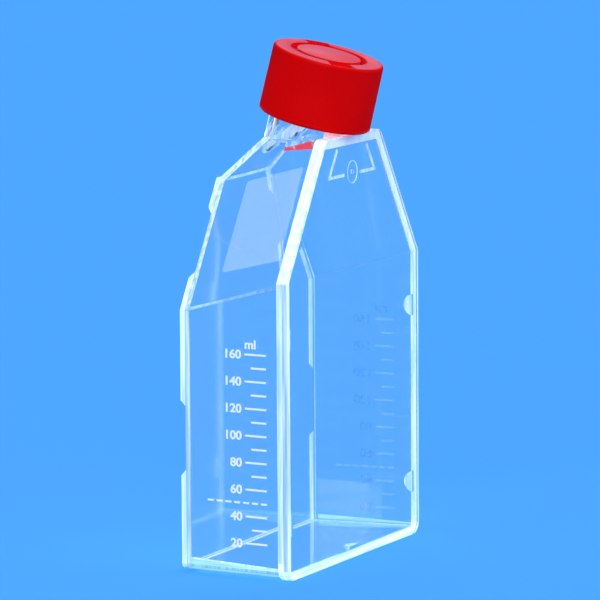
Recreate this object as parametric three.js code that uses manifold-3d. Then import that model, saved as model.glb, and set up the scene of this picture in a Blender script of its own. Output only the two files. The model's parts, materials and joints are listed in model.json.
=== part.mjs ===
// Cell culture flask with a growth area of 75 cm2, and its vented screw cap.
//
// The flask stands on its end with the neck up. +Z is up, X runs across the wide faces, and Y
// through the depth: the welded lid plate is on the -Y side, the growth face on the +Y side.
// The neck leans towards the lid plate. Millimetres.
//
// A depth, here, is a distance behind the outer face of the lid plate. Heights are taken from the
// lid plate's foot, and the whole flask is then lowered, so that the origin lies on the tray's
// flat end wall, half-way through the depth.

import * as THREE from 'three';
import { mergeVertices } from 'three/addons/utils/BufferGeometryUtils.js';
import Module from 'manifold-3d';

const wasm = await Module();
wasm.setup();

// ---------------------------------------------------------------- Driving dimensions

const clearance = 0.3;           // between pieces that meet, and between the two threads

// Wide faces, seen from the front
const width = 88;                // lid plate across its straight sides
const topHeight = 121.8;         // lid plate's foot to the flat top
const topWidth = 36.6;           // lid plate along its top edge
const creaseHeight = 84;         // where the lid plate's sides turn in to the shoulders
const endCornerRadius = 4;       // of the lid plate and flange
const trayCornerRadius = 1.8;
const creaseRadius = 1.5;
const topCornerRadius = 3;

// Depth
const depth = 34.2;              // lid plate's outer face to the growth face
const sideDraft = 5;             // degrees that each narrow side leans in towards the growth face
const shoulderLean = 15.2;       // degrees that the shoulders fall towards the growth face
const growthEdgeRadius = 0.6;    // round edge of the growth face
const growthBendRadius = 1;      // bends of the rail round the growth face
const wall = 1.4;

// Ramp from the growth face up to the neck
const rampTopDepth = 22.8;
const rampDrop = 11.9;           // the ramp's foot below the flat top

// Thick roof in front of and beside the neck
const rootBlockDepth = 14.5;
const rootBlockBack = 4.2;       // its thickness at its back
const rootBlockFront = 2.6;      // its thickness at the lid plate

// Lid plate, and the flange of the tray that it is welded to
const lidThickness = 1.9;
const lidEdgeRound = 0.4;
const flangeThickness = 1.3;
const flangeLip = 0.6;           // how far plate and flange stand proud of the sides
const footLip = 0.8;             // and how far they stand below the tray's end wall

// Lugs under the lid plate that centre it in the tray
const lugRadius = 3.2;
const lugSink = 0.6;             // their centre lies this deep in the plate
const lugThickness = 1;
const endLugHeight = 15.7;       // of the lower lugs, above the lid plate's foot
const creaseLugDrop = 16;        // of the upper lugs, below the crease

// Marks on the lid plate's inner face: a bracket of fine ribs round a moulding gate
const ribWidth = 0.9;
const ribHeight = 0.25;
const bracketTopHalf = 10;       // half of the bracket's width, up at the root block
const bracketFootHalf = 15.1;
const bracketDrop = 11.2;        // the bracket's foot below the flat top
const bracketGap = 5.7;          // half of the open stretch in the bracket's foot
const gateDrop = 10.7;           // the gate below the flat top
const gateRecess = { radius: 3.3, depth: 0.3 };
const gateStub = { radius: 0.7, height: 0.25 };

// Stacking rail round the growth face
const railHeight = 1.3;
const railInset = 0.2;
const railWidth = 1.4;
const railRun = 1.5;             // height over which each end of the rail slopes down
const railGaps = [[28.3, 48.3], [83.9, 101]];  // at the middle of the slopes

// Neck
const neckLean = 14.4;           // degrees towards the lid plate
const neckDepth = 12.5;          // depth of the neck's axis at the cap's lower edge
const neckRise = 4;              // the cap's lower edge above the flat top, at the neck's axis
const neckRadius = 12.8;
const neckWall = 1.75;
const neckRoot = 16;             // how far the neck runs down into the shoulders
const mouthChamfer = 0.4;

// Thread on the neck and in the cap
const pitch = 4.5;
const neckThreadTurns = 1.5;
const capThreadTurns = 1;
const capThreadLead = 0.25;      // turns from the neck thread's start to the cap thread's start
const neckThreadDrop = 2.95;     // the upper end of the neck's thread below the mouth
const threadHeight = 1.2;        // radial
const threadRoot = 1.9;          // width at the wall
const threadCrest = 0.8;         // width at the crest

// Cap
const capWall = 1.85;            // outside the thread's clearance
const capHeight = 19.3;
const capDraft = 0.15;           // smaller in radius at the top than at the foot
const capTopRound = 0.9;
const capTop = 2.5;              // thickness of the cap's top
const knurlCount = 120;
const knurlDepth = 0.25;
const footBand = 1.1;            // smooth band below the knurl
const footRound = 0.5;
const rimWidth = 4.95;           // flat ring of the cap's top outside the groove
const grooveWidth = 2.05;
const grooveDepth = 1.3;
const notchWidth = 6.8;
const notchRim = 0.8;            // thin wall that stays outside each notch
const notchAngle = 41;           // degrees from +X
const ventCount = 6;
const ventWidth = 1.2;
const ventArc = 34;              // degrees covered by each vent slot

// Inside the cap
const sealThickness = 1;
const membraneThickness = 0.3;
const membraneRim = 0.25;        // past the vent slots

// Facets
const roundSteps = 72;           // round a full circle
const cornerSteps = 6;           // round an outline's corner
const edgeSteps = 4;             // round the growth face's edge

// ---------------------------------------------------------------- Derived places

const rad = THREE.MathUtils.degToRad;
const shoulderSlope = (width - topWidth) / 2 / (topHeight - creaseHeight);
const seamDepth = lidThickness + clearance;
const flangeBack = seamDepth + flangeThickness;
const trayTop = topHeight - flangeLip;
const rampFootHeight = topHeight - rampDrop;
const neckStart = topHeight + neckRise;
const bracketTopHeight = topHeight - rootBlockFront - 1.5 * ribWidth;
const bracketFootHeight = topHeight - bracketDrop;
const boreRadius = neckRadius - neckWall;
const threadMajor = neckRadius + threadHeight;
const capInnerRadius = threadMajor + clearance;
const capRadius = capInnerRadius + capWall;
const grooveOuter = capRadius - rimWidth;
const grooveInner = grooveOuter - grooveWidth;
const ventInner = grooveInner + clearance;
const membraneRadius = ventInner + ventWidth + membraneRim;
const sealInner = membraneRadius + 1.5 * clearance;
const capCeiling = capHeight - capTop;
const mouthHeight = capCeiling - sealThickness - 2 * clearance;
const neckThreadStart = mouthHeight - neckThreadDrop - pitch * neckThreadTurns;

// ---------------------------------------------------------------- Solids and meshes

/** A manifold solid from a closed BufferGeometry. */
function solidFrom(geometry) {
  const bare = geometry.clone();
  bare.deleteAttribute('normal');
  bare.deleteAttribute('uv');
  const merged = mergeVertices(bare, 1e-4);
  const corners = merged.index.array;
  const triangles = [];
  for (let i = 0; i < corners.length; i += 3) {
    const [a, b, c] = [corners[i], corners[i + 1], corners[i + 2]];
    if (a !== b && b !== c && c !== a) triangles.push(a, b, c);
  }
  return new wasm.Manifold(new wasm.Mesh({
    numProp: 3,
    vertProperties: new Float32Array(merged.attributes.position.array),
    triVerts: new Uint32Array(triangles),
  }));
}

/** A flat-shaded BufferGeometry from a manifold solid. */
function geometryFrom(solid) {
  const mesh = solid.getMesh();
  const geometry = new THREE.BufferGeometry();
  geometry.setAttribute('position', new THREE.BufferAttribute(mesh.vertProperties, 3));
  geometry.setIndex(new THREE.BufferAttribute(mesh.triVerts, 1));
  geometry.computeVertexNormals();
  return geometry;
}

function union(solids) {
  return solids.reduce((sum, solid) => sum.add(solid));
}

/**
 * A closed solid through rings of points, all with the same number of points.
 * Both end rings are closed by a fan round their middle.
 */
function loft(rings) {
  const count = rings[0].length;
  const points = rings.flat();
  const faces = [];
  for (let ring = 0; ring < rings.length - 1; ring += 1) {
    for (let i = 0; i < count; i += 1) {
      const next = (i + 1) % count;
      const [a, b] = [ring * count + i, ring * count + next];
      faces.push(a, b, b + count, a, b + count, a + count);
    }
  }
  const last = (rings.length - 1) * count;
  points.push(middleOf(rings[0]), middleOf(rings[rings.length - 1]));
  for (let i = 0; i < count; i += 1) {
    const next = (i + 1) % count;
    faces.push(points.length - 2, next, i);
    faces.push(points.length - 1, last + i, last + next);
  }
  const geometry = new THREE.BufferGeometry().setFromPoints(points);
  geometry.setIndex(faces);
  return solidFrom(enclosedVolume(points, faces) < 0 ? turnedInsideOut(geometry) : geometry);
}

function middleOf(points) {
  return points
    .reduce((sum, point) => sum.add(point), new THREE.Vector3())
    .divideScalar(points.length);
}

function enclosedVolume(points, faces) {
  let sum = 0;
  for (let i = 0; i < faces.length; i += 3) {
    const [a, b, c] = [points[faces[i]], points[faces[i + 1]], points[faces[i + 2]]];
    sum += a.dot(b.clone().cross(c));
  }
  return sum / 6;
}

function turnedInsideOut(geometry) {
  geometry.setIndex([...geometry.index.array].reverse());
  return geometry;
}

/** A solid of revolution about Z, from points of radius and height. */
function revolve(profile, segments = roundSteps) {
  const points = profile.map(([radius, height]) => new THREE.Vector2(radius, height));
  return solidFrom(new THREE.LatheGeometry(points, segments).rotateX(Math.PI / 2));
}

/** A ring of rectangular section about Z. */
function ring(inner, outer, low, high) {
  return revolve([[inner, low], [outer, low], [outer, high], [inner, high], [inner, low]]);
}

/** A disc about Z. */
function disc(radius, low, high, segments = roundSteps) {
  return revolve([[0, low], [radius, low], [radius, high], [0, high]], segments);
}

/** A box between two corners. */
function box(low, high) {
  const size = high.map((value, axis) => value - low[axis]);
  const middle = high.map((value, axis) => (value + low[axis]) / 2);
  return solidFrom(new THREE.BoxGeometry(...size).translate(...middle));
}

// ---------------------------------------------------------------- Outlines of the wide faces

/** Moves each edge of a convex, anticlockwise outline inwards. */
function insetOutline(corners, inset) {
  const edges = corners.map((corner, i) => {
    const along = corners[(i + 1) % corners.length].clone().sub(corner).normalize();
    const start = corner.clone().add(new THREE.Vector2(-along.y, along.x).multiplyScalar(inset));
    return { start, along };
  });
  return edges.map((edge, i) => {
    const before = edges[(i + edges.length - 1) % edges.length];
    const gap = edge.start.clone().sub(before.start);
    const reach = gap.cross(edge.along) / before.along.cross(edge.along);
    return before.start.clone().addScaledVector(before.along, reach);
  });
}

/** Replaces each corner of a convex outline by an arc with a fixed number of points. */
function roundOutline(corners, radii) {
  return corners.flatMap((corner, i) => {
    const back = corners[(i + corners.length - 1) % corners.length].clone().sub(corner).normalize();
    const ahead = corners[(i + 1) % corners.length].clone().sub(corner).normalize();
    const half = Math.acos(THREE.MathUtils.clamp(back.dot(ahead), -1, 1)) / 2;
    const centre = back.clone().add(ahead).normalize()
      .multiplyScalar(radii[i] / Math.sin(half)).add(corner);
    const from = back.multiplyScalar(radii[i] / Math.tan(half)).add(corner).sub(centre);
    const turn = Math.PI - 2 * half;
    return Array.from({ length: cornerSteps + 1 }, (_, step) => from.clone()
      .rotateAround(new THREE.Vector2(), (turn * step) / cornerSteps).add(centre));
  });
}

/** Corners of a symmetric outline from its right-hand corners, from the foot up. */
function mirrored(rightSide) {
  const right = rightSide.map(([x, z]) => new THREE.Vector2(x, z));
  const left = right.map((corner) => new THREE.Vector2(-corner.x, corner.y)).reverse();
  return [...right, ...left];
}

const cornerRadii = [endCornerRadius, creaseRadius, topCornerRadius];
const minRadius = 0.3;

/** The corner radii of an outline that has been moved inwards. */
function insetRadii(radii, inset) {
  const kept = radii.map((radius) => Math.max(radius - inset, minRadius));
  return [...kept, ...[...kept].reverse()];
}

/** Places an outline of the wide faces at a depth. */
function atDepth(outline, at) {
  return outline.map((point) => new THREE.Vector3(point.x, at - depth / 2, point.y));
}

function lidOutline(inset = 0) {
  const corners = mirrored([[width / 2, 0], [width / 2, creaseHeight], [topWidth / 2, topHeight]]);
  return roundOutline(insetOutline(corners, inset), insetRadii(cornerRadii, inset));
}

/** Half of the tray's width, and the height of its shoulder crease, at a depth. */
function sideAt(at) {
  return {
    half: width / 2 - flangeLip - at * Math.tan(rad(sideDraft)),
    crease: creaseHeight - at * Math.tan(rad(shoulderLean)),
  };
}

function trayOutline(at, inset) {
  const { half, crease } = sideAt(at);
  const topHalf = half - shoulderSlope * (trayTop - crease);
  const corners = mirrored([[half, footLip], [half, crease], [topHalf, trayTop]]);
  const radii = [trayCornerRadius, creaseRadius, minRadius];
  return roundOutline(insetOutline(corners, inset), insetRadii(radii, inset));
}

/** The flat part of the growth face, up to the foot of the ramp. */
function growthOutline(inset) {
  const { half, crease } = sideAt(depth);
  const footHalf = half - shoulderSlope * (rampFootHeight - crease);
  const corners = mirrored([[half, footLip], [half, crease], [footHalf, rampFootHeight]]);
  const radii = [trayCornerRadius, growthBendRadius, growthBendRadius];
  return roundOutline(insetOutline(corners, inset), insetRadii(radii, inset));
}

// ---------------------------------------------------------------- Flask body

/** What lies above the ramp, with the ramp moved inwards. */
function aboveRamp(inset) {
  const top = new THREE.Vector2(rampTopDepth, trayTop);
  const foot = new THREE.Vector2(depth, rampFootHeight);
  const along = foot.clone().sub(top).normalize();
  const out = new THREE.Vector2(-along.y, along.x);
  const reach = depth;
  const corners = [
    top.clone().addScaledVector(along, -reach).addScaledVector(out, -inset),
    foot.clone().addScaledVector(along, reach).addScaledVector(out, -inset),
    foot.clone().addScaledVector(along, reach).addScaledVector(out, reach),
    top.clone().addScaledVector(along, -reach).addScaledVector(out, reach),
  ];
  return loft([-width, width].map((x) => corners
    .map((corner) => new THREE.Vector3(x, corner.x - depth / 2, corner.y))));
}

/** The tray's form from a front depth to the growth face, with all its walls moved inwards. */
function trayForm(frontDepth, inset) {
  const edgeRadius = Math.max(growthEdgeRadius - inset, minRadius);
  const back = depth - inset;
  const rings = [atDepth(trayOutline(frontDepth, inset), frontDepth)];
  for (let step = 0; step <= edgeSteps; step += 1) {
    const angle = (Math.PI / 2) * (step / edgeSteps);
    const at = back - edgeRadius * (1 - Math.sin(angle));
    rings.push(atDepth(trayOutline(at, inset + edgeRadius * (1 - Math.cos(angle))), at));
  }
  return loft(rings).subtract(aboveRamp(inset));
}

/** Turns and moves a solid made about the neck's axis, from the cap's lower edge up. */
const neckFrame = new THREE.Matrix4()
  .makeTranslation(0, neckDepth - depth / 2, neckStart)
  .multiply(new THREE.Matrix4().makeRotationX(rad(neckLean)));

function onNeck(solid) {
  return solidFrom(geometryFrom(solid).applyMatrix4(neckFrame));
}

/** A ridge along a helix about Z, with both ends run out into the wall that carries it. */
function threadRidge(wallRadius, crestRadius, start, turns, startTurn) {
  const steps = Math.round(turns * roundSteps);
  const runOut = roundSteps / 12;
  const buried = wallRadius + Math.sign(wallRadius - crestRadius) * clearance;
  const rings = [];
  for (let step = 0; step <= steps; step += 1) {
    const grown = Math.min(1, step / runOut, (steps - step) / runOut);
    const crest = THREE.MathUtils.lerp(wallRadius, crestRadius, 0.05 + 0.95 * grown);
    const turn = step / roundSteps;
    const angle = 2 * Math.PI * (startTurn + turn);
    const section = [
      [buried, -threadRoot / 2],
      [crest, -threadCrest / 2],
      [crest, threadCrest / 2],
      [buried, threadRoot / 2],
    ];
    rings.push(section.map(([radius, height]) => new THREE.Vector3(
      radius * Math.cos(angle),
      radius * Math.sin(angle),
      start + pitch * turn + height,
    )));
  }
  return loft(rings);
}

/** The space of a gap in the rail, narrower at the growth face than at the rail's top. */
function railGap([low, high]) {
  return loft([-1, 2].map((share) => {
    const back = depth / 2 + share * railHeight;
    const slope = railRun * (share - 0.5);
    return [
      new THREE.Vector3(-width, back, low - slope),
      new THREE.Vector3(width, back, low - slope),
      new THREE.Vector3(width, back, high + slope),
      new THREE.Vector3(-width, back, high + slope),
    ];
  }));
}

function stackingRail() {
  const rings = [railInset, railInset + railWidth].map((inset) => loft([
    atDepth(growthOutline(inset), depth - wall / 2),
    atDepth(growthOutline(inset), depth + railHeight),
  ]));
  return rings[0].subtract(rings[1]).subtract(union(railGaps.map(railGap)));
}

/** The space above the root block's slanted underside, from the lid plate to its back. */
function rootBlock() {
  const profile = [
    [0, topHeight - rootBlockFront],
    [rootBlockDepth, topHeight - rootBlockBack],
    [rootBlockDepth, 2 * topHeight],
    [0, 2 * topHeight],
  ];
  return loft([-width, width].map((x) => profile
    .map(([at, height]) => new THREE.Vector3(x, at - depth / 2, height))));
}

function flaskBody() {
  const flange = loft([seamDepth, flangeBack].map((at) => atDepth(lidOutline(), at)));
  const neck = onNeck(union([
    revolve([
      [0, -neckRoot],
      [neckRadius, -neckRoot],
      [neckRadius, mouthHeight - mouthChamfer],
      [neckRadius - mouthChamfer, mouthHeight],
      [0, mouthHeight],
    ]),
    threadRidge(neckRadius, threadMajor, neckThreadStart, neckThreadTurns, 0),
  ]));
  const lidSpace = box(
    [-width, -2 * depth, 0],
    [width, seamDepth - depth / 2, topHeight + clearance],
  );
  const outside = union([trayForm(seamDepth, 0), flange, stackingRail(), neck.subtract(lidSpace)]);
  const cavity = trayForm(-1, wall).subtract(rootBlock());
  const bore = onNeck(disc(boreRadius, -neckRoot, mouthHeight + 1));
  return outside.subtract(cavity).subtract(bore.subtract(lidSpace));
}

// ---------------------------------------------------------------- Lid plate

/** A straight rib on the lid plate's inner face, between two points of X and height. */
function plateRib(from, to) {
  const along = to.clone().sub(from);
  const length = along.length() + ribWidth;
  const middle = from.clone().add(to).divideScalar(2);
  return solidFrom(new THREE.BoxGeometry(length, 2 * ribHeight, ribWidth)
    .rotateY(-along.angle())
    .translate(middle.x, lidThickness - depth / 2, middle.y));
}

function gateBracket() {
  const ribs = [];
  for (const side of [-1, 1]) {
    const top = new THREE.Vector2(side * bracketTopHalf, bracketTopHeight);
    const foot = new THREE.Vector2(side * bracketFootHalf, bracketFootHeight);
    const end = new THREE.Vector2(side * bracketGap, bracketFootHeight);
    ribs.push(plateRib(top, foot), plateRib(foot, end));
  }
  return union(ribs);
}

/** A half-disc that stands on the lid plate's inner face, flat beside a wall of the tray. */
function halfDisc() {
  const segments = 24;
  const whole = new THREE.CylinderGeometry(lugRadius, lugRadius, lugThickness, segments);
  const kept = box([-width, 0, -width], [width, width, width]);
  return solidFrom(whole.rotateZ(Math.PI / 2)).intersect(kept);
}

function lidLugs() {
  const inFace = lidThickness - lugSink - depth / 2;
  const reach = wall + clearance + lugThickness / 2;
  const heights = [endLugHeight, creaseHeight - creaseLugDrop];
  const lugs = heights.flatMap((height) => [-1, 1].map((side) => halfDisc()
    .translate([side * (sideAt(seamDepth + lugRadius).half - reach), inFace, height])));
  lugs.push(halfDisc().rotate([0, 90, 0]).translate([0, inFace, footLip + reach]));
  return union(lugs);
}

/** A disc about Y at the gate, from one distance behind the plate's inner face to another. */
function gateDisc(radius, low, high) {
  return disc(radius, low, high, 36).rotate([-90, 0, 0])
    .translate([0, lidThickness - depth / 2, topHeight - gateDrop]);
}

function lidPlate() {
  const plate = loft([
    atDepth(lidOutline(lidEdgeRound), 0),
    atDepth(lidOutline(), lidEdgeRound),
    atDepth(lidOutline(), lidThickness),
  ]);
  const recess = gateDisc(gateRecess.radius, -gateRecess.depth, 1);
  const stub = gateDisc(gateStub.radius, -lidThickness / 2, gateStub.height - gateRecess.depth);
  return union([plate, gateBracket(), lidLugs()]).subtract(recess).add(stub);
}

// ---------------------------------------------------------------- Cap

/** A knurled ring of points: every other point lies in a groove. */
function knurledRing(radius, height, knurl) {
  const count = 2 * knurlCount;
  return Array.from({ length: count }, (_, i) => {
    const reach = radius - (i % 2) * knurl;
    const angle = (2 * Math.PI * i) / count;
    return new THREE.Vector3(reach * Math.cos(angle), reach * Math.sin(angle), height);
  });
}

function capOutside() {
  const skirt = capHeight - capTopRound;
  const radiusAt = (height) => capRadius - (capDraft * height) / capHeight;
  const rings = [
    knurledRing(capRadius - footRound, 0, 0),
    knurledRing(capRadius, footRound, 0),
    knurledRing(capRadius, footBand, 0),
    knurledRing(capRadius, footBand + knurlDepth, knurlDepth),
    knurledRing(radiusAt(skirt), skirt, knurlDepth),
  ];
  for (let step = 1; step <= edgeSteps; step += 1) {
    const angle = (Math.PI / 2) * (step / edgeSteps);
    const height = skirt + capTopRound * Math.sin(angle);
    const radius = radiusAt(skirt) - capTopRound * (1 - Math.cos(angle));
    rings.push(knurledRing(radius, height, knurlDepth * Math.cos(angle) ** 2));
  }
  return loft(rings);
}

/** Two notches that widen the groove up to a thin rim, on opposite sides. */
function capNotches() {
  const across = box(
    [-2 * capRadius, -notchWidth / 2, capHeight - grooveDepth],
    [2 * capRadius, notchWidth / 2, 2 * capHeight],
  ).rotate([0, 0, notchAngle]);
  const middle = (grooveInner + grooveOuter) / 2;
  return across.intersect(ring(middle, capRadius - notchRim, 0, 3 * capHeight));
}

/** Arc slots through the floor of the groove, over the membrane. */
function ventSlots() {
  const sector = (start) => loft([0, 2 * capHeight].map((height) => {
    const rim = [0, 0.5, 1].map((share) => rad(start + share * ventArc));
    return [new THREE.Vector3(0, 0, height), ...rim.map((angle) => new THREE.Vector3(
      2 * capRadius * Math.cos(angle),
      2 * capRadius * Math.sin(angle),
      height,
    ))];
  }));
  const sectors = Array.from({ length: ventCount }, (_, i) => sector((360 * i) / ventCount));
  return ring(ventInner, ventInner + ventWidth, capCeiling - 1, capHeight).intersect(union(sectors));
}

function screwCap() {
  const inside = revolve([
    [0, -1],
    [capInnerRadius, -1],
    [capInnerRadius, capCeiling],
    [0, capCeiling],
  ]);
  const groove = ring(grooveInner, grooveOuter, capHeight - grooveDepth, capHeight + 1);
  const ridge = threadRidge(
    capInnerRadius,
    neckRadius + clearance,
    neckThreadStart + pitch * (capThreadLead - 0.5),
    capThreadTurns,
    capThreadLead,
  );
  return capOutside()
    .subtract(inside)
    .subtract(union([groove, capNotches(), ventSlots()]))
    .add(ridge);
}

/** The soft ring that the cap presses on the neck's mouth. */
function sealingRing() {
  const low = mouthHeight + clearance;
  return ring(sealInner, capInnerRadius - clearance, low, low + sealThickness);
}

/** The gas-permeable disc under the vent slots. */
function ventMembrane() {
  const high = capCeiling - clearance;
  return disc(membraneRadius, high - membraneThickness, high);
}

// ---------------------------------------------------------------- Scene graph

function mesh(name, solid, finish) {
  const part = new THREE.Mesh(geometryFrom(solid), new THREE.MeshStandardMaterial(finish));
  part.name = name;
  return part;
}

const clear = { color: 0xdcebf5, roughness: 0.05, metalness: 0, transparent: true, opacity: 0.35 };

const flask = new THREE.Group();
flask.add(
  mesh('flask_body', flaskBody(), clear),
  mesh('lid_plate', lidPlate(), clear),
);

// The closure is made about the neck's axis, and placed by one group.
const closure = new THREE.Group();
closure.applyMatrix4(neckFrame);
closure.add(
  mesh('screw_cap', screwCap(), { color: 0xc40408, roughness: 0.4, metalness: 0 }),
  mesh('sealing_ring', sealingRing(), { color: 0xe9e6dc, roughness: 0.7, metalness: 0 }),
  mesh('vent_membrane', ventMembrane(), { color: 0xf4f4f2, roughness: 0.9, metalness: 0 }),
);
flask.add(closure);
flask.position.z = -footLip;

export default flask;
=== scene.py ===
import json
import math

import bpy
from mathutils import Matrix, Vector

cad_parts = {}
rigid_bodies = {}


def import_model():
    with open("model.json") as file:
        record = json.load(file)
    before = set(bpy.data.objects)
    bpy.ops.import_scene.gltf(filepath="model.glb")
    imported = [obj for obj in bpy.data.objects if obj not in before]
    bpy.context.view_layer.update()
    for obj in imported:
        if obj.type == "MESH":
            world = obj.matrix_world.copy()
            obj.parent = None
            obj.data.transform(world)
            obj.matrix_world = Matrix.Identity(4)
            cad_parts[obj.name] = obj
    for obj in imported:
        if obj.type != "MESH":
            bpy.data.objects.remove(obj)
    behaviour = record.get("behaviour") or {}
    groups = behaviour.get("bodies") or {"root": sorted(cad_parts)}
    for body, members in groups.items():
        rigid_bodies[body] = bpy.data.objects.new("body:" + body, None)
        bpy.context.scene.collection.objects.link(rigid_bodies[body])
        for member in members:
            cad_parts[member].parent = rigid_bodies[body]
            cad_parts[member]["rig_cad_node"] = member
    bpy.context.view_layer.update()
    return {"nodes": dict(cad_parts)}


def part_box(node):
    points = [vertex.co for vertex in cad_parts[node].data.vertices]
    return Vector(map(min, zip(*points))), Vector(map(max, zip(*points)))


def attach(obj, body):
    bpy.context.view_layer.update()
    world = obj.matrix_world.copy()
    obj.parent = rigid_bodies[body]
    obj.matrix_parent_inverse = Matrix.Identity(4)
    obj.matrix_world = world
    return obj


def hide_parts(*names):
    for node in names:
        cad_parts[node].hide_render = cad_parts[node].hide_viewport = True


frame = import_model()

# Cell culture flask in metres. +Z runs up to the cap, -Y is the lid plate's side, and a depth is a
# distance behind the outer face of the lid plate. The printed scale is on the -X side.

# ---------------------------------------------------------------- Sizes taken from the frame

lid_low, lid_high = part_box("lid_plate")

LID_FACE = lid_low.y
FOOT = lid_low.z                         # the lid plate's foot
SIDE_INSET = 0.0006                      # from the lid plate's edge to the tray's side
SIDE_HALF = lid_high.x - SIDE_INSET
SIDE_DRAFT = math.tan(math.radians(5))
CREASE_HEIGHT = FOOT + 0.084             # the shoulders start here
CREASE_FALL = math.tan(math.radians(15.2))
SHOULDER_SLOPE = 0.0257 / 0.0378         # inwards over upwards
GROWTH_FACE = LID_FACE + 0.0342          # outer face opposite the lid plate
MID_HEIGHT = 0.055                       # of the culture space

NECK_LEAN = math.radians(14.4)
NECK_FOOT = lid_high.z + 0.0008          # above this the round neck stays clear
CAP_AXIS = Vector((0, -math.sin(NECK_LEAN), math.cos(NECK_LEAN)))
CAP_POINT = Vector((0, -0.0046, 0.125))  # where the cap's joint sits on that axis
CAP_TOP = max(
    (frame["nodes"]["screw_cap"].matrix_world @ vertex.co).dot(CAP_AXIS)
    for vertex in frame["nodes"]["screw_cap"].data.vertices
)
CAP_TOP_DEPTH = 0.0004                   # the flats of the cap's top lie within this depth
CAP_ROOF = 0.005                         # the groove and the vents end above this depth

# ---------------------------------------------------------------- Printed scale

TICK_END = {-1: 0.00745, 1: 0.0086}      # depth of the ticks' ends next to the lid plate, by side
MAJOR_START = 0.0144                     # depth of the ticks' other ends, long and short
MINOR_START = 0.0124
TICK_WIDTH = 0.00055
TOP_MARK = {-1: FOOT + 0.0635, 1: FOOT + 0.063}    # height of the top volume's mark
MARK_STEP = {-1: 0.003825, 1: 0.004}     # height from one mark to the next
TOP_VOLUME = 160                         # volumes are in millilitres
LOW_VOLUME = 20
MARK_VOLUME = 10
NUMERAL_VOLUME = 20                      # every second mark is long and has a numeral
DASHED_VOLUME = 50
DASH_START = 0.0268
DASH_COUNT = 7
DASH_LENGTH = 0.00195
NUMERAL_END = 0.0155
NUMERAL_HEIGHT = 0.0025
NUMERAL_STRETCH = 1.12
STROKE_GAIN = 0.00011                    # makes the numerals' strokes bolder on each side
FONT_SHARE = 0.729                       # a numeral's height in a font of size 1
UNIT_MIDDLE = (0.0125, FOOT + 0.0652)
PRINT_THICKNESS = 0.00004
PRINT_GAP = 0.00001
RAISED_THICKNESS = 0.00015

# ---------------------------------------------------------------- Writing patch

# Depth and height above the foot, of the lower two corners and then the upper two
PATCH_CORNERS = [(0.0244, 0.0852), (0.0053, 0.0898), (0.0242, 0.1094), (0.0058, 0.1144)]
PATCH_ROUNDING = 0.0008
PATCH_THICKNESS = 0.00003
PATCH_GAP = 0.00002

# ---------------------------------------------------------------- Painted highlights along the edges of the clear mouldings

WALL_BAND = 0.0018                       # how far a wall's thickness shows past its outer face
FOOT_BAND = 0.0021                       # the same at the end face, and the bright line above it
FOOT_LINE = 0.0026
RAMP_TOP = Vector((0, LID_FACE + 0.0228, 0.1204))
RAMP_NORMAL = Vector((0, 0.704, 0.71))
RAMP_LINE = 0.0008                       # bright line round the ramp, outside and inside
INNER_RAMP = 0.0014                      # the ramp's inner face lies this deep
ROOT_HEIGHT = 0.0022                     # bright ring round the foot of the neck
FLANGE_FOOT = FOOT + 0.0052              # the flange's level run ends here
TOP_RAIL = FOOT + 0.105                  # the run of the rail under the ramp is higher than this
RIM_LINE = 0.0011                        # bright line down the long edges of the lid plate
SMALL_BEND = math.radians(45)            # a bend of less than this is a crease
END_SLOPE = 0.035                        # the end wall shows thicker towards the growth face
FLAT_AREA = 0.00006                      # a flat of this size or more is no rounded edge
WALL_AREA = 0.0003                       # a flat of this size or more is a wall
LINE_SHARE = 0.2                         # a bend ends in bright lines of this share of its turn
SEAM_BACK = LID_FACE + 0.0023            # front face of the weld flange
PLATE_BACK = LID_FACE + 0.00195          # inner face of the lid plate, under its lugs
FLANGE_BACK = LID_FACE + 0.0036          # the weld flange ends here
BRACKET_HALF = 0.016                     # the bracket and the gate mark lie within this width
BRACKET_FOOT = FOOT + 0.1                # and above this height
GATE_HEIGHT = FOOT + 0.1111
GATE_RADIUS = 0.00316
GATE_EDGE = 0.00012
GATE_DEPTH = 0.00175
PAST = 0.0001                            # a face this far past a plane lies beyond it

# How straight a face looks in a direction, as a cosine
SAME_WAY = 0.9998
ON_TOP = 0.98                            # flats of the cap's top
PLATE_FLAT = 0.95                        # faces of the lid plate that are no rounded rim
STRAIGHT = 0.9
HALFWAY = 0.5
EDGE_ON = 0.3

# How the flats of a moulding are told apart, in steps a metre and steps a unit of normal
OFFSET_STEPS = 5000
NORMAL_STEPS = 50

WELD_DISTANCE = 1e-6
FLAT_ANGLE = math.radians(0.3)
CLEAR_SMOOTH = 25                        # degrees up to which the edges of mouldings look round
ROUND_SMOOTH = 35

# ---------------------------------------------------------------- Camera, light and floor

CAMERA_PLACE = (-1.3203, -0.63571, 0.26769)
CAMERA_AZIMUTH = math.radians(-64.28)
CAMERA_ELEVATION = math.radians(7.58)
CAMERA_ROLL = math.radians(-0.37)
CAMERA_LENS = 309.7
FLOOR_COLOUR = (0.07, 0.345, 0.94, 1)
FLOOR_SIZE = 12
FLOOR_GAP = 0.0003
SKY_LIGHT = 0.3
SUN_DISTANCE = 3
FAR_LIMIT = 50


def deselect_all():
    bpy.ops.object.select_all(action="DESELECT")


def select_only(piece):
    deselect_all()
    piece.select_set(True)
    bpy.context.view_layer.objects.active = piece


# ---------------------------------------------------------------- Materials


def number_socket(group, name, value=None):
    """Adds an input with a value, or an output without one, to a node group."""
    way = "OUTPUT" if value is None else "INPUT"
    socket = group.interface.new_socket(name=name, in_out=way, socket_type="NodeSocketFloat")
    if value is not None:
        socket.default_value = value


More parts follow.
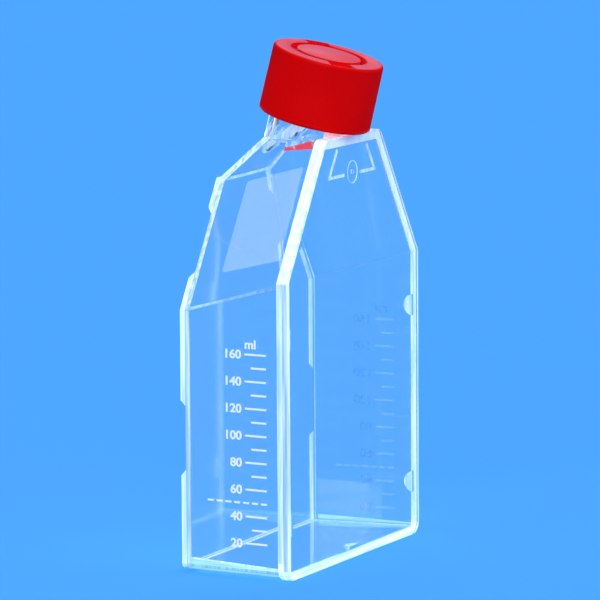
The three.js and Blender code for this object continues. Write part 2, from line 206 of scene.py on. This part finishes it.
def moulded_surface_group():
    """Slow and fine unevenness of a moulded surface, as a mask and a height."""
    group = bpy.data.node_groups.new("moulded_surface", "ShaderNodeTree")
    number_socket(group, "Scale", 60)
    number_socket(group, "Detail", 3)
    number_socket(group, "Mask")
    number_socket(group, "Height")
    nodes, link = group.nodes, group.links.new
    given = nodes.new("NodeGroupInput")
    result = nodes.new("NodeGroupOutput")
    place = nodes.new("ShaderNodeTexCoord")
    slow = nodes.new("ShaderNodeTexNoise")
    fine = nodes.new("ShaderNodeTexNoise")
    fine_scale = nodes.new("ShaderNodeMath")
    fine_scale.operation = "MULTIPLY"
    fine_scale.inputs[1].default_value = 12
    mixed = nodes.new("ShaderNodeMix")
    mixed.data_type = "FLOAT"
    mixed.inputs["Factor"].default_value = 0.25
    link(place.outputs["Object"], slow.inputs["Vector"])
    link(place.outputs["Object"], fine.inputs["Vector"])
    link(given.outputs["Scale"], slow.inputs["Scale"])
    link(given.outputs["Detail"], slow.inputs["Detail"])
    link(given.outputs["Scale"], fine_scale.inputs[0])
    link(fine_scale.outputs[0], fine.inputs["Scale"])
    link(slow.outputs["Fac"], mixed.inputs["A"])
    link(fine.outputs["Fac"], mixed.inputs["B"])
    link(slow.outputs["Fac"], result.inputs["Mask"])
    link(mixed.outputs["Result"], result.inputs["Height"])
    return group


def streak_group(name, run):
    """Uneven painted streaks of light that run along an edge; `run` is short where they are long.
    """
    group = bpy.data.node_groups.new(name, "ShaderNodeTree")
    number_socket(group, "Scale", 900)
    number_socket(group, "Mask")
    nodes, link = group.nodes, group.links.new
    given = nodes.new("NodeGroupInput")
    result = nodes.new("NodeGroupOutput")
    place = nodes.new("ShaderNodeTexCoord")
    drawn_out = nodes.new("ShaderNodeMapping")
    drawn_out.inputs["Scale"].default_value = run
    noise = nodes.new("ShaderNodeTexNoise")
    noise.inputs["Detail"].default_value = 1
    spread = nodes.new("ShaderNodeMapRange")
    spread.inputs["From Min"].default_value = 0.36
    spread.inputs["From Max"].default_value = 0.6
    link(place.outputs["Object"], drawn_out.inputs["Vector"])
    link(drawn_out.outputs["Vector"], noise.inputs["Vector"])
    link(given.outputs["Scale"], noise.inputs["Scale"])
    link(noise.outputs["Fac"], spread.inputs["Value"])
    link(spread.outputs["Result"], result.inputs["Mask"])
    return group


moulded_surface = moulded_surface_group()
upright_streaks = streak_group("upright_streaks", (1, 1, 0.05))
level_streaks = streak_group("level_streaks", (0.05, 0.05, 1))


def plain_material(name):
    material = bpy.data.materials.new(name)
    material.use_nodes = True
    return material, material.node_tree.nodes, material.node_tree.links.new


def add_moulded_surface(material, scale, roughness, bump, distance):
    """Roughness between two values and a bump, from the shared moulded surface."""
    nodes, link = material.node_tree.nodes, material.node_tree.links.new
    shader = nodes["Principled BSDF"]
    surface = nodes.new("ShaderNodeGroup")
    surface.node_tree = moulded_surface
    surface.inputs["Scale"].default_value = scale
    span = nodes.new("ShaderNodeMapRange")
    span.inputs["From Min"].default_value = 0.3
    span.inputs["From Max"].default_value = 0.7
    span.inputs["To Min"].default_value = roughness[0]
    span.inputs["To Max"].default_value = roughness[1]
    relief = nodes.new("ShaderNodeBump")
    relief.inputs["Strength"].default_value = bump
    relief.inputs["Distance"].default_value = distance
    link(surface.outputs["Mask"], span.inputs["Value"])
    link(span.outputs["Result"], shader.inputs["Roughness"])
    link(surface.outputs["Height"], relief.inputs["Height"])
    link(relief.outputs["Normal"], shader.inputs["Normal"])
    return surface.outputs["Mask"]


def add_tone(material, mask, tones):
    """A base colour between two tones, by a mask."""
    nodes, link = material.node_tree.nodes, material.node_tree.links.new
    tone = nodes.new("ShaderNodeMix")
    tone.data_type = "RGBA"
    tone.inputs["A"].default_value, tone.inputs["B"].default_value = tones
    link(mask, tone.inputs["Factor"])
    link(tone.outputs["Result"], nodes["Principled BSDF"].inputs["Base Color"])
    return tone.outputs["Result"]


def let_lamps_through(material, tint):
    """Lets the light of lamps through a clear material, so that it throws no black shadow."""
    nodes, link = material.node_tree.nodes, material.node_tree.links.new
    clear = nodes.new("ShaderNodeBsdfTransparent")
    clear.inputs["Color"].default_value = tint
    path = nodes.new("ShaderNodeLightPath")
    mix = nodes.new("ShaderNodeMixShader")
    link(path.outputs["Is Shadow Ray"], mix.inputs["Fac"])
    link(nodes["Principled BSDF"].outputs["BSDF"], mix.inputs[1])
    link(clear.outputs["BSDF"], mix.inputs[2])
    link(mix.outputs["Shader"], nodes["Material Output"].inputs["Surface"])


def clear_polystyrene():
    material, nodes, link = plain_material("clear_polystyrene")
    shader = nodes["Principled BSDF"]
    shader.inputs["Base Color"].default_value = (0.985, 0.993, 1, 1)
    shader.inputs["Transmission Weight"].default_value = 0.99
    shader.inputs["IOR"].default_value = 1.59
    add_moulded_surface(material, scale=35, roughness=(0, 0.01), bump=0.01, distance=0.0001)
    let_lamps_through(material, (0.96, 0.98, 1, 1))
    return material


def neck_polystyrene():
    """Clear polystyrene of the round neck, with a painted glow along the sides where they turn
    away, standing in for light that gathers there.
    """
    material = clear_polystyrene()
    material.name = "neck_polystyrene"
    nodes, link = material.node_tree.nodes, material.node_tree.links.new
    shader = nodes["Principled BSDF"]
    # painted glow on the sides that turn away
    turn = nodes.new("ShaderNodeLayerWeight")
    turn.inputs["Blend"].default_value = 0.5
    painted_rim_glow = nodes.new("ShaderNodeMapRange")
    painted_rim_glow.inputs["From Min"].default_value = 0.72
    painted_rim_glow.inputs["From Max"].default_value = 0.95
    link(turn.outputs["Facing"], painted_rim_glow.inputs["Value"])
    link(painted_rim_glow.outputs["Result"], shader.inputs["Emission Color"])
    shader.inputs["Emission Strength"].default_value = 0.8
    return material


def lit_polystyrene(name, tones, front, back, glow, streak_kind=upright_streaks):
    """A painted highlight and glow on an edge, standing in for light that runs inside the clear
    walls and comes out.

    It covers what lies behind it by `front` where seen from outside, by `back` from inside.
    """
    material, nodes, link = plain_material(name)
    shader = nodes["Principled BSDF"]
    add_moulded_surface(material, scale=60, roughness=(0.15, 0.3), bump=0.05, distance=0.0001)
    streaks = nodes.new("ShaderNodeGroup")
    streaks.node_tree = streak_kind
    tone = add_tone(material, streaks.outputs["Mask"], tones)
    link(tone, shader.inputs["Emission Color"])
    shader.inputs["Emission Strength"].default_value = glow
    if front == back:
        shader.inputs["Alpha"].default_value = front
    else:
        side = nodes.new("ShaderNodeNewGeometry")
        cover = nodes.new("ShaderNodeMapRange")
        cover.inputs["To Min"].default_value = front
        cover.inputs["To Max"].default_value = back
        link(side.outputs["Backfacing"], cover.inputs["Value"])
        link(cover.outputs["Result"], shader.inputs["Alpha"])
    let_lamps_through(material, (0.93, 0.97, 1, 1))
    return material


def thin_layer(name, colour, cover):
    """A plain layer that lets the clear wall under it show through."""
    material, nodes, link = plain_material(name)
    nodes["Principled BSDF"].inputs["Base Color"].default_value = colour
    nodes["Principled BSDF"].inputs["Alpha"].default_value = cover
    return material


def raised_plastic(name, colour, cover):
    """Low relief on a clear wall, with a painted darker or paler tone standing in for the light
    that it bends.
    """
    material = thin_layer(name, colour, cover)
    material.node_tree.nodes["Principled BSDF"].inputs["Specular IOR Level"].default_value = 0.1
    add_moulded_surface(material, scale=300, roughness=(0.3, 0.5), bump=0.1, distance=0.00005)
    return material


def frosted_film():
    material = thin_layer("frosted_film", (0.8, 0.93, 1, 1), 0.12)
    add_moulded_surface(material, scale=900, roughness=(0.6, 0.8), bump=0.3, distance=0.00002)
    return material


def two_tone(name, tones, scale, roughness, bump, distance):
    """An opaque material whose colour and roughness wander a little."""
    material, nodes, link = plain_material(name)
    add_tone(material, add_moulded_surface(material, scale, roughness, bump, distance), tones)
    return material


def red_polyethylene(name, sheen, glow):
    """Red plastic with a painted red glow standing in for light that comes through it, and its own
    share of mirrored light.
    """
    material = two_tone(name, RED, scale=90, roughness=(0.38, 0.5), bump=0.15, distance=0.0001)
    shader = material.node_tree.nodes["Principled BSDF"]
    shader.inputs["Specular IOR Level"].default_value = sheen
    shader.inputs["Emission Color"].default_value = (0.6, 0, 0, 1)
    shader.inputs["Emission Strength"].default_value = glow
    return material


# WHITE, BRIGHT, PALE and SKY_PALE are tones of painted highlights along the clear mouldings' edges
WHITE = ((0.76, 0.92, 1, 1), (0.95, 1, 1, 1))
BRIGHT = ((0.46, 0.71, 0.84, 1), (0.8, 0.95, 1, 1))
PALE = ((0.36, 0.62, 0.74, 1), (0.72, 0.92, 1, 1))
SKY_PALE = ((0.26, 0.56, 0.88, 1), (0.42, 0.74, 0.98, 1))
RED = ((0.44, 0.0004, 0.0006, 1), (0.51, 0.0007, 0.001, 1))
INK = ((0.86, 0.9, 0.94, 1), (0.94, 0.96, 0.98, 1))
CREAM = ((0.78, 0.76, 0.70, 1), (0.84, 0.82, 0.76, 1))
OFF_WHITE = ((0.82, 0.82, 0.81, 1), (0.92, 0.92, 0.91, 1))

clear_plastic = clear_polystyrene()
neck_plastic = neck_polystyrene()
# Painted highlights and glows on the edges, bends, creases and rails of the clear mouldings
white_edge = lit_polystyrene("white_edge", WHITE, front=0.95, back=0.95, glow=0.08)
bright_edge = lit_polystyrene("bright_edge", BRIGHT, front=0.95, back=0.95, glow=0.1)
foot_edge = lit_polystyrene(
    "foot_edge", BRIGHT, front=0.95, back=0.95, glow=0.45, streak_kind=level_streaks,
)
pale_painted_edge = lit_polystyrene("pale_painted_edge", PALE, front=0.85, back=0.85, glow=0.1)
bright_bend = lit_polystyrene("bright_bend", BRIGHT, front=0.95, back=0.03, glow=0.3)
pale_painted_band = lit_polystyrene("pale_painted_band", PALE, front=0.85, back=0.03, glow=0.2)
rail_side = lit_polystyrene("rail_side", BRIGHT, front=0.95, back=0.03, glow=0.3)
crease = lit_polystyrene("crease", SKY_PALE, front=0.8, back=0.1, glow=0.3)
foot_bend = lit_polystyrene(
    "foot_bend", SKY_PALE, front=0.9, back=0.6, glow=0.5, streak_kind=level_streaks,
)
inner_bend = lit_polystyrene("inner_bend", PALE, front=0.5, back=0.8, glow=0.5)
faint_bend = lit_polystyrene("faint_bend", PALE, front=0.15, back=0.5, glow=0.2)
ramp_bend = lit_polystyrene("ramp_bend", PALE, front=0.85, back=0.6, glow=0.35)
neck_root = lit_polystyrene("neck_root", BRIGHT, front=0.3, back=0.85, glow=0.45)
inner_ramp = lit_polystyrene("inner_ramp", PALE, front=0.6, back=0.05, glow=0.4)
# Painted tones: the relief's numerals darker, its marks paler
relief_numerals = raised_plastic("relief_numerals", (0.03, 0.24, 0.68, 1), 0.32)
relief_marks = raised_plastic("relief_marks", (0.35, 0.7, 1, 1), 0.14)
# Each red material has a painted red glow; the inside's is the strongest
red_plastic = red_polyethylene("red_polyethylene", sheen=0.03, glow=0.3)
red_top = red_polyethylene("red_top", sheen=0.14, glow=0.3)
red_inside_painted_glow = red_polyethylene("red_inside_painted_glow", sheen=0.03, glow=1.3)    # stronger painted glow, standing in for daylight through the skirt
print_ink = two_tone(
    "white_ink", INK, scale=400, roughness=(0.4, 0.6), bump=0.1, distance=0.00002,
)
frosting = frosted_film()
soft_seal = two_tone(
    "pale_elastomer", CREAM, scale=200, roughness=(0.55, 0.7), bump=0.2, distance=0.0001,
)
membrane_film = two_tone(
    "white_membrane", OFF_WHITE, scale=1200, roughness=(0.8, 0.95), bump=0.5, distance=0.0001,
)


def give(piece, material):
    piece.data.materials.clear()
    piece.data.materials.append(material)


# ---------------------------------------------------------------- Mouldings from the frame


def merged_copy(node, name, body, material, smooth_angle, cuts=()):
    """A copy of a CAD node with its triangles joined, cut by planes, and its round faces smooth."""
    select_only(frame["nodes"][node])
    bpy.ops.object.duplicate()
    piece = bpy.context.view_layer.objects.active
    piece.name = name
    piece.data.name = name
    del piece["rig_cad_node"]
    bpy.ops.object.mode_set(mode="EDIT")
    bpy.ops.mesh.select_all(action="SELECT")
    bpy.ops.mesh.remove_doubles(threshold=WELD_DISTANCE)
    if cuts:
        bpy.ops.mesh.dissolve_limited(angle_limit=FLAT_ANGLE)
    for place, towards in cuts:
        bpy.ops.mesh.select_all(action="SELECT")
        bpy.ops.mesh.bisect(plane_co=place, plane_no=towards)
    bpy.ops.object.mode_set(mode="OBJECT")
    bpy.ops.object.shade_smooth_by_angle(angle=math.radians(smooth_angle))
    bpy.ops.object.modifier_add(type="WEIGHTED_NORMAL")
    piece.modifiers[0].weight = 100
    piece.modifiers[0].keep_sharp = True
    bpy.ops.object.modifier_apply(modifier=piece.modifiers[0].name)
    give(piece, material)
    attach(piece, body)
    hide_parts(node)
    return piece


def areas_in_plane(mesh):
    """For each face, the area of all the faces that lie in its plane."""
    planes = []
    areas = {}
    for face in mesh.polygons:
        offset = round(face.normal.dot(face.center) * OFFSET_STEPS)
        plane = (*(round(part * NORMAL_STEPS) for part in face.normal), offset)
        planes.append(plane)
        areas[plane] = areas.get(plane, 0) + face.area
    return [areas[plane] for plane in planes]


def faces_inwards(face):
    """Whether a face of the tray looks into the culture space."""
    outward = Vector((face.center.x, face.center.y, face.center.z - MID_HEIGHT))
    return face.normal.dot(outward) < 0


def wall_normals(mesh, areas, inside):
    """The directions that the broad walls of a moulding face in, outside or inside."""
    normals = []
    for face, area in zip(mesh.polygons, areas):
        known = any(face.normal.dot(normal) > SAME_WAY for normal in normals)
        if area > WALL_AREA and not known and faces_inwards(face) == inside:
            normals.append(face.normal.copy())
    return normals


def turned(face, area, normals):
    """How far a face of a rounded edge has turned from wall to wall, and the whole bend."""
    if area >= FLAT_AREA or face.center.z > NECK_FOOT or len(normals) < 2:
        return 0, 0
    nearest = sorted(normals, key=lambda normal: -face.normal.dot(normal))[:2]
    bend = nearest[0].angle(nearest[1])
    return face.normal.angle(nearest[0]) / bend, bend


CLEAR_AND_PAINTED_EDGES = [
    clear_plastic, white_edge, bright_edge, pale_painted_edge, bright_bend, pale_painted_band, rail_side,
    crease, foot_bend, inner_bend, faint_bend, neck_plastic, foot_edge,
    ramp_bend, neck_root, inner_ramp,
]


def give_finishes(piece, face_materials, choices):
    """Gives each face of a piece the material that was chosen for it."""
    mesh = piece.data
    mesh.materials.clear()
    for material in face_materials:
        mesh.materials.append(material)
    for face, choice in zip(mesh.polygons, choices):
        face.material_index = face_materials.index(choice)


def moulding_choices(mesh, choose):
    """The material of each face of a clear moulding: clear, or a painted highlight."""
    areas = areas_in_plane(mesh)
    normals = {inside: wall_normals(mesh, areas, inside) for inside in (False, True)}
    return [
        choose(face, *turned(face, area, normals[faces_inwards(face)]))
        for face, area in zip(mesh.polygons, areas)
    ]


def end_depth(at):
    """How far above the end wall's outer face a point shows, with the wall's slope taken off."""
    return at.z - END_SLOPE * (at.y - LID_FACE)


def inner_finish(face, share, bend, above_ramp):
    at = face.center
    if abs(face.normal.y) < STRAIGHT and PAST < -above_ramp - INNER_RAMP < RAMP_LINE:
        return inner_ramp
    if share > 0 and bend > SMALL_BEND:
        return faint_bend if at.z > CREASE_HEIGHT else inner_bend
    return clear_plastic


def outer_finish(face, share, bend, above_ramp):
    at, facing = face.center, face.normal
    off_ramp = facing.dot(RAMP_NORMAL) < STRAIGHT
    if above_ramp > -RAMP_LINE and off_ramp:
        return ramp_bend
    if share > 0 and bend < SMALL_BEND:
        return crease
    in_growth_band = at.y > GROWTH_FACE - WALL_BAND
    if end_depth(at) < FOOT_LINE and not in_growth_band and facing.z > -STRAIGHT:
        return foot_bend if end_depth(at) < FOOT_BAND else bright_bend
    if share > 0:
        return bright_bend if min(share, 1 - share) < LINE_SHARE else pale_painted_band
    in_ramp_band = above_ramp > -WALL_BAND and off_ramp
    if facing.y < HALFWAY and (in_growth_band or in_ramp_band):
        return pale_painted_band
    return clear_plastic


# Clear plastic, or a painted highlight, for each face of the tray
def tray_finish(face, share, bend):
    at, facing = face.center, face.normal
    outer = not faces_inwards(face)
    if at.y < SEAM_BACK or (outer and at.y < FLANGE_BACK):
        if facing.z < -EDGE_ON or at.z < FLANGE_FOOT:
            return foot_edge
        return white_edge if at.z > CREASE_HEIGHT else bright_edge
    above_ramp = (at - RAMP_TOP).dot(RAMP_NORMAL)
    if outer and PAST < above_ramp < ROOT_HEIGHT and facing.y > 0 and at.y > 0:
        return neck_root
    if at.z > NECK_FOOT:
        return neck_plastic
    if at.y > GROWTH_FACE + PAST:
        return ramp_bend if at.z > TOP_RAIL else rail_side
    return (outer_finish if outer else inner_finish)(face, share, bend, above_ramp)


# Clear plastic, or a painted highlight, for each face of the lid plate
def plate_finish(face, share, bend):
    at, facing = face.center, face.normal
    if at.y > PLATE_BACK:
        in_bracket = abs(at.x) < BRACKET_HALF and at.z > BRACKET_FOOT
        return pale_painted_edge if in_bracket else pale_painted_band
    if facing.z < -EDGE_ON:
        return foot_edge
    if abs(facing.y) <= EDGE_ON:
        return white_edge if at.z > CREASE_HEIGHT else pale_painted_edge
    if abs(facing.y) < PLATE_FLAT:
        return bright_edge
    if facing.y < 0 and abs(at.x) > lid_high.x - RIM_LINE:
        return bright_bend
    return clear_plastic


def cap_finish(face):
    """The flats of the cap's top mirror more, and its inside and underside get a stronger painted
    glow, standing in for daylight through the skirt.
    """
    height = face.center.dot(CAP_AXIS)
    upwards = face.normal.dot(CAP_AXIS)
    away = face.center - CAP_POINT
    outwards = away - away.dot(CAP_AXIS) * CAP_AXIS
    if upwards > ON_TOP and height > CAP_TOP - CAP_TOP_DEPTH:
        return red_top
    inside = face.normal.dot(outwards) < 0 or upwards < -STRAIGHT
    return red_inside_painted_glow if inside and height < CAP_TOP - CAP_ROOF else red_plastic


TRAY_CUTS = [
    ((0, GROWTH_FACE - WALL_BAND, 0), (0, 1, 0)),
    ((0, LID_FACE, FOOT_BAND), (0, -END_SLOPE, 1)),
    ((0, LID_FACE, FOOT_LINE), (0, -END_SLOPE, 1)),
    ((0, 0, CREASE_HEIGHT), (0, 0, 1)),
    ((0, 0, FLANGE_FOOT), (0, 0, 1)),
    (RAMP_TOP - RAMP_NORMAL * WALL_BAND, RAMP_NORMAL),
    (RAMP_TOP - RAMP_NORMAL * RAMP_LINE, RAMP_NORMAL),
    (RAMP_TOP + RAMP_NORMAL * ROOT_HEIGHT, RAMP_NORMAL),
    (RAMP_TOP - RAMP_NORMAL * (INNER_RAMP + RAMP_LINE), RAMP_NORMAL),
]
PLATE_CUTS = [((side * (lid_high.x - RIM_LINE), 0, 0), (1, 0, 0)) for side in (-1, 1)]
PLATE_CUTS.append(((0, 0, CREASE_HEIGHT), (0, 0, 1)))

tray = merged_copy(
    "flask_body", "moulded_tray", "flask", clear_plastic, CLEAR_SMOOTH, TRAY_CUTS,
)
plate = merged_copy(
    "lid_plate", "welded_plate", "flask", clear_plastic, CLEAR_SMOOTH, PLATE_CUTS,
)
cap = merged_copy("screw_cap", "knurled_cap", "cap", red_plastic, ROUND_SMOOTH)
merged_copy("sealing_ring", "mouth_seal", "seal", soft_seal, ROUND_SMOOTH)
merged_copy("vent_membrane", "vent_film", "cap", membrane_film, ROUND_SMOOTH)

give_finishes(tray, CLEAR_AND_PAINTED_EDGES, moulding_choices(tray.data, tray_finish))
give_finishes(plate, CLEAR_AND_PAINTED_EDGES, moulding_choices(plate.data, plate_finish))
give_finishes(cap, [red_plastic, red_top, red_inside_painted_glow], map(cap_finish, cap.data.polygons))


def gate_ring():
    """The soft edge round the moulding gate's recess in the lid plate's inner face, with the
    crease's painted highlight.
    """
    deselect_all()
    bpy.ops.mesh.primitive_torus_add(
        major_radius=GATE_RADIUS, minor_radius=GATE_EDGE, major_segments=48, minor_segments=8,
        location=(0, LID_FACE + GATE_DEPTH, GATE_HEIGHT), rotation=(math.radians(90), 0, 0),
    )
    ring = bpy.context.object
    ring.name = "gate_edge"
    ring.data.name = "gate_edge"
    bpy.ops.object.transform_apply()
    bpy.ops.object.shade_smooth()
    give(ring, crease)
    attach(ring, "flask")


gate_ring()


# ---------------------------------------------------------------- Print and patch


def side_frame(side, at, height, proud):
    """Where print lies on a narrow side: X reads along it, Y is up and Z points out."""
    run = Vector((-side * SIDE_DRAFT, 1, 0)).normalized()
    reading = run * side
    up = Vector((0, 0, 1))
    out = reading.cross(up)
    place = Vector((side * (SIDE_HALF - SIDE_DRAFT * at), LID_FACE + at, height)) + out * proud
    basis = Matrix((reading, up, out)).transposed().to_4x4()
    return Matrix.Translation(place) @ basis


def strip(start, end, height, side, thickness):
    """One flat bar of print between two depths."""
    bpy.ops.mesh.primitive_cube_add(size=1)
    bar = bpy.context.object
    bar.scale = (abs(end - start), TICK_WIDTH, thickness)
    bpy.ops.object.transform_apply(location=False, rotation=False, scale=True)
    bar.matrix_world = side_frame(side, (start + end) / 2, height, thickness / 2 + PRINT_GAP)
    bpy.ops.object.transform_apply()
    return bar


def lettering(words, side, at, height, align, size, thickness):
    """Plain numerals or letters on a narrow side."""
    bpy.ops.object.text_add()
    text = bpy.context.object
    text.data.body = words
    text.data.align_x = align
    text.data.size = size
    text.data.extrude = thickness / 2
    text.data.offset = STROKE_GAIN
    bpy.ops.object.convert(target="MESH")
    text = bpy.context.object
    stretch = Matrix.Diagonal((NUMERAL_STRETCH, 1, 1, 1))
    text.matrix_world = side_frame(side, at, height, thickness / 2 + PRINT_GAP) @ stretch
    bpy.ops.object.transform_apply()
    return text


def join(pieces, name):
    deselect_all()
    for piece in pieces:
        piece.select_set(True)
    bpy.context.view_layer.objects.active = pieces[0]
    bpy.ops.object.join()
    joined = bpy.context.object
    joined.name = name
    joined.data.name = name
    return joined


def mark_height(side, volume):
    return TOP_MARK[side] - (TOP_VOLUME - volume) / MARK_VOLUME * MARK_STEP[side]


def scale_marks(side, thickness):
    """The ticks of a scale and its dashed line."""
    bars = []
    end = TICK_END[side]
    for volume in range(LOW_VOLUME, TOP_VOLUME + 1, MARK_VOLUME):
        if volume == DASHED_VOLUME:
            continue
        start = MINOR_START if volume % NUMERAL_VOLUME else MAJOR_START
        bars.append(strip(start, end, mark_height(side, volume), side, thickness))
    pitch = (DASH_START - end - DASH_LENGTH) / (DASH_COUNT - 1)
    height = mark_height(side, DASHED_VOLUME)
    for dash in range(DASH_COUNT):
        start = DASH_START - dash * pitch
        bars.append(strip(start, start - DASH_LENGTH, height, side, thickness))
    return bars


def scale_numerals(side, thickness):
    align = "RIGHT" if side < 0 else "LEFT"
    size = NUMERAL_HEIGHT / FONT_SHARE
    numerals = []
    for volume in range(LOW_VOLUME, TOP_VOLUME + 1, NUMERAL_VOLUME):
        foot = mark_height(side, volume) - NUMERAL_HEIGHT / 2
        numerals.append(lettering(str(volume), side, NUMERAL_END, foot, align, size, thickness))
    at, foot = UNIT_MIDDLE
    numerals.append(lettering("ml", side, at, foot, "CENTER", size, thickness))
    return numerals


def volume_scale(side, thickness, name, mark_material, numeral_material):
    """A scale with plain numerals on a narrow side, as one piece."""
    deselect_all()
    marks = join(scale_marks(side, thickness), name)
    numerals = join(scale_numerals(side, thickness), name)
    give(marks, mark_material)
    give(numerals, numeral_material)
    piece = join([marks, numerals], name)
    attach(piece, "flask")
    return piece


volume_scale(-1, PRINT_THICKNESS, "printed_scale", print_ink, print_ink)
raised_scale = volume_scale(1, RAISED_THICKNESS, "raised_scale", relief_marks, relief_numerals)


def shoulder_point(side, at, height, proud):
    """A point on a shoulder, or a little above it."""
    crease = CREASE_HEIGHT - CREASE_FALL * at
    half = SIDE_HALF - SIDE_DRAFT * at - SHOULDER_SLOPE * (height - crease)
    out = Vector((side, SIDE_DRAFT + SHOULDER_SLOPE * CREASE_FALL, SHOULDER_SLOPE)).normalized()
    return Vector((side * half, LID_FACE + at, height)) + out * proud


def writing_patch():
    """The frosted field for notes on the -X shoulder."""
    deselect_all()
    bpy.ops.mesh.primitive_plane_add(size=1)
    patch = bpy.context.object
    patch.name = "writing_patch"
    for vertex, (at, height) in zip(patch.data.vertices, PATCH_CORNERS):
        vertex.co = shoulder_point(-1, at, FOOT + height, PATCH_GAP)
    bpy.ops.object.mode_set(mode="EDIT")
    bpy.ops.mesh.select_all(action="SELECT")
    bpy.ops.mesh.bevel(offset=PATCH_ROUNDING, segments=6, affect="VERTICES")
    bpy.ops.mesh.normals_make_consistent(inside=False)
    bpy.ops.object.mode_set(mode="OBJECT")
    bpy.ops.object.modifier_add(type="SOLIDIFY")
    patch.modifiers[0].thickness = PATCH_THICKNESS
    patch.modifiers[0].offset = 1
    bpy.ops.object.modifier_apply(modifier=patch.modifiers[0].name)
    give(patch, frosting)
    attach(patch, "flask")


writing_patch()


# ---------------------------------------------------------------- Floor, light and camera


def floor_sheet():
    deselect_all()
    bpy.ops.mesh.primitive_plane_add(size=FLOOR_SIZE, location=(0, 0, FOOT - FLOOR_GAP))
    floor = bpy.context.object
    floor.name = "floor"
    bpy.ops.object.transform_apply()
    material, nodes, link = plain_material("floor_paint")
    shader = nodes["Principled BSDF"]
    shader.inputs["Base Color"].default_value = FLOOR_COLOUR
    shader.inputs["Roughness"].default_value = 1
    shader.inputs["Specular IOR Level"].default_value = 0
    give(floor, material)


def soft_sun(name, towards, spread, level):
    """A broad even light from a direction, with its spread in degrees.

    A level of 1 lights a facing white wall to white.
    """
    deselect_all()
    bpy.ops.object.light_add(type="SUN", location=Vector(towards).normalized() * SUN_DISTANCE)
    sun = bpy.context.object
    sun.name = name
    sun.data.angle = math.radians(spread)
    sun.data.energy = level * math.pi
    sun.rotation_euler = Vector(towards).to_track_quat("Z", "Y").to_euler()


def sky():
    """White soft light, with the floor's colour wherever the backdrop is seen or mirrored."""
    world = bpy.data.worlds.new("studio")
    bpy.context.scene.world = world
    world.use_nodes = True
    nodes, link = world.node_tree.nodes, world.node_tree.links.new
    background = nodes["Background"]
    background.inputs["Color"].default_value = (1, 1, 1, 1)
    background.inputs["Strength"].default_value = SKY_LIGHT
    backdrop = nodes.new("ShaderNodeBackground")
    backdrop.inputs["Color"].default_value = FLOOR_COLOUR
    path = nodes.new("ShaderNodeLightPath")
    looked_at = path.outputs["Is Camera Ray"]
    for ray in ("Is Glossy Ray", "Is Transmission Ray"):
        either = nodes.new("ShaderNodeMath")
        either.operation = "MAXIMUM"
        link(looked_at, either.inputs[0])
        link(path.outputs[ray], either.inputs[1])
        looked_at = either.outputs[0]
    mix = nodes.new("ShaderNodeMixShader")
    link(looked_at, mix.inputs["Fac"])
    link(background.outputs["Background"], mix.inputs[1])
    link(backdrop.outputs["Background"], mix.inputs[2])
    link(mix.outputs["Shader"], nodes["World Output"].inputs["Surface"])


def camera():
    deselect_all()
    bpy.ops.object.camera_add(location=CAMERA_PLACE)
    made = bpy.context.object
    made.rotation_mode = "QUATERNION"
    back = Vector((
        math.sin(CAMERA_AZIMUTH) * math.cos(CAMERA_ELEVATION),
        -math.cos(CAMERA_AZIMUTH) * math.cos(CAMERA_ELEVATION),
        math.sin(CAMERA_ELEVATION),
    ))
    right = Vector((math.cos(CAMERA_AZIMUTH), math.sin(CAMERA_AZIMUTH), 0))
    up = back.cross(right)
    turned_right = right * math.cos(CAMERA_ROLL) + up * math.sin(CAMERA_ROLL)
    turned_up = up * math.cos(CAMERA_ROLL) - right * math.sin(CAMERA_ROLL)
    basis = Matrix((turned_right, turned_up, back)).transposed()
    made.rotation_quaternion = basis.to_quaternion()
    made.data.lens = CAMERA_LENS
    made.data.clip_end = FAR_LIMIT
    bpy.context.scene.camera = made


floor_sheet()
sky()
soft_sun("top_light", (-0.1, -0.1, 1), spread=70, level=0.36)
soft_sun("key_light", (-0.86, -0.3, 0.42), spread=40, level=0.62)
soft_sun("front_light", (0.25, -0.9, 0.42), spread=40, level=0.3)
soft_sun("back_light", (0.8, 0.3, 0.62), spread=36, level=0.15)
camera()
bpy.context.scene.view_settings.view_transform = "Standard"
